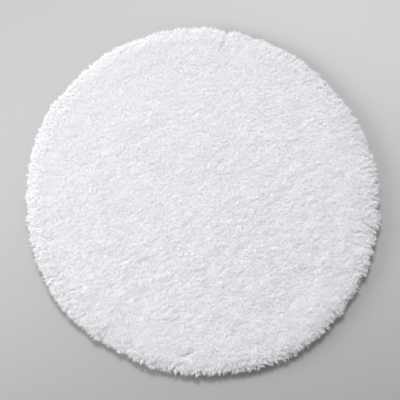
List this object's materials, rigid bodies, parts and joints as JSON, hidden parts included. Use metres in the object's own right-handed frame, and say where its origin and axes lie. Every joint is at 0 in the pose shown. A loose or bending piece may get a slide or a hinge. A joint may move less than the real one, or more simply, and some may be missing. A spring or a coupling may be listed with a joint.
{
  "type": "plush polishing pad",
  "caption": "Round plush-pile polishing pad with a needled felt core and a hook-and-loop fastening back.",
  "frame": {"origin": "centre of the fastening-loop face on the back of the pad, where it meets its backer plate", "axes": "+Z along the pad's axis of rotation, out of the plush polishing face; X and Y lie in the plane of the back"},
  "size_m": [0.156, 0.156, 0.0082],
  "materials": {
    "pile_white": "matte",
    "ground_white": "matte",
    "web_clear": "matte",
    "felt_white": "matte",
    "backing_white": "matte",
    "loop_white": "matte",
    "thread_white": "matte"
  },
  "bodies": {
    "root": {"pile": "pile_white", "ground_knit": "ground_white", "face_adhesive": "web_clear", "felt_core": "felt_white", "back_adhesive": "web_clear", "backing_tricot": "backing_white", "backing_loops": "loop_white", "needle_thread": "thread_white", "bobbin_thread": "thread_white"}
  },
  "joints": []
}
